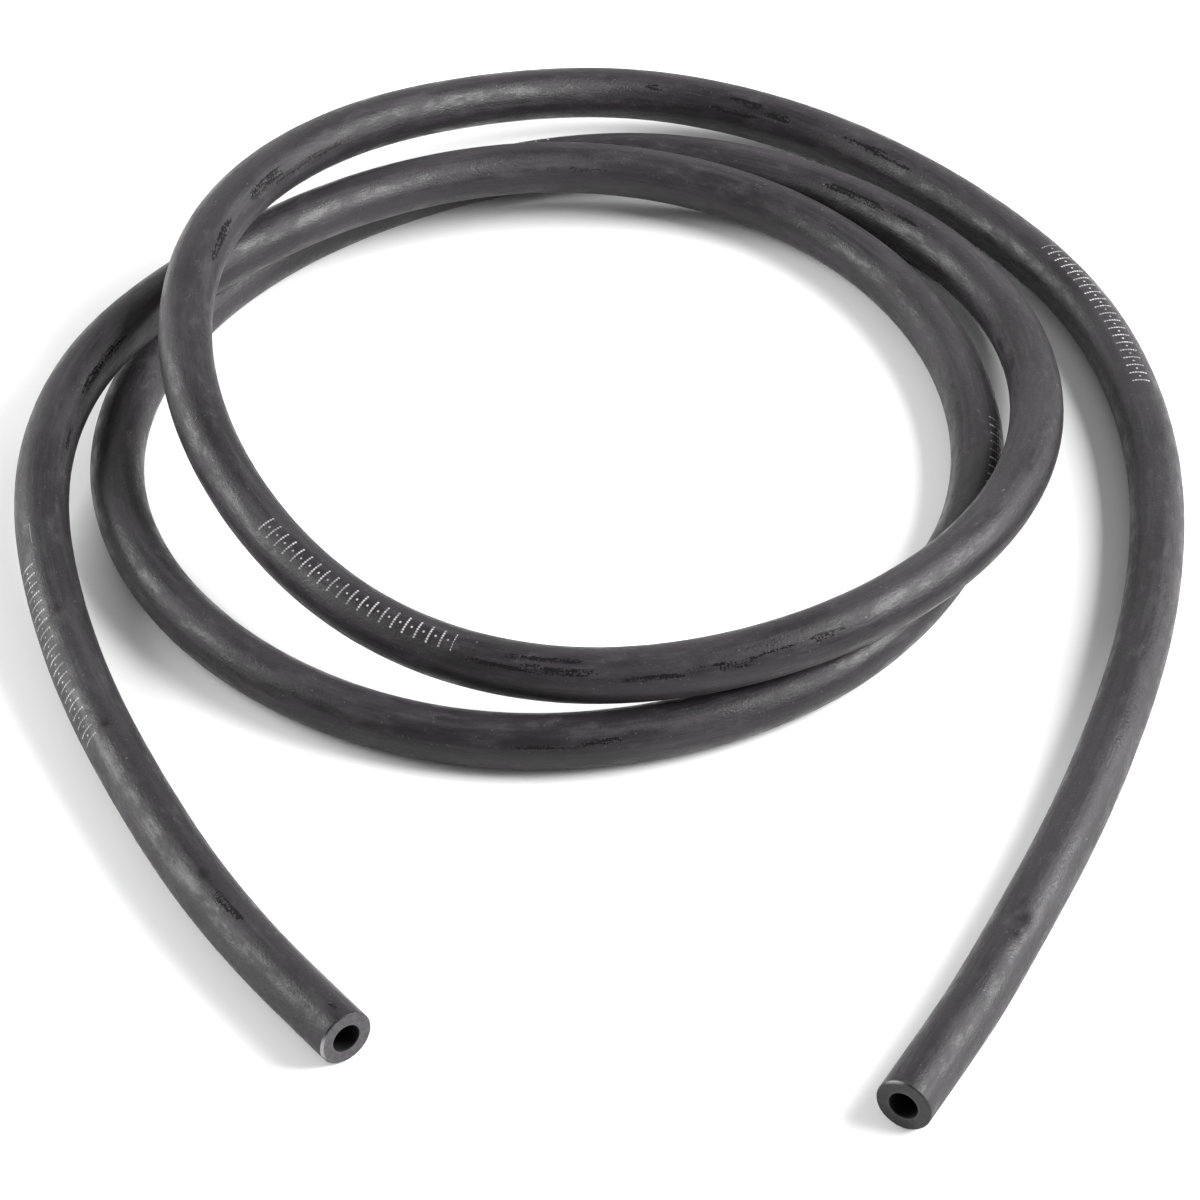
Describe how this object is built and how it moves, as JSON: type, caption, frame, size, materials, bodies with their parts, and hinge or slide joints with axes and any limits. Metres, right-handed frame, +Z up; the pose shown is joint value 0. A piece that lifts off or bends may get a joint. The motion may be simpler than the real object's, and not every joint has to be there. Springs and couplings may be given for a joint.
{
  "type": "rubber hose",
  "caption": "Plain thick-walled black rubber hose with bare square-cut ends, lying in a loose overlapping coil; each end takes a barb in its bore or a clip around it.",
  "frame": {"origin": "middle of the coiled hose's footprint, on the surface that it lies on", "axes": "+Z up from the surface, the shortest way through the coil; +Y from the side where both cut ends lie towards the back of the coil, the longest way across it; +X to the right seen from the ends"},
  "size_m": [0.2576, 0.3532, 0.0369],
  "materials": {
    "rubber": "satin black extruded rubber, streaked along its length and lightly dusted"
  },
  "bodies": {
    "root": {"hose_run": "rubber", "front_left_end": "rubber", "front_right_end": "rubber"}
  },
  "joints": []
}
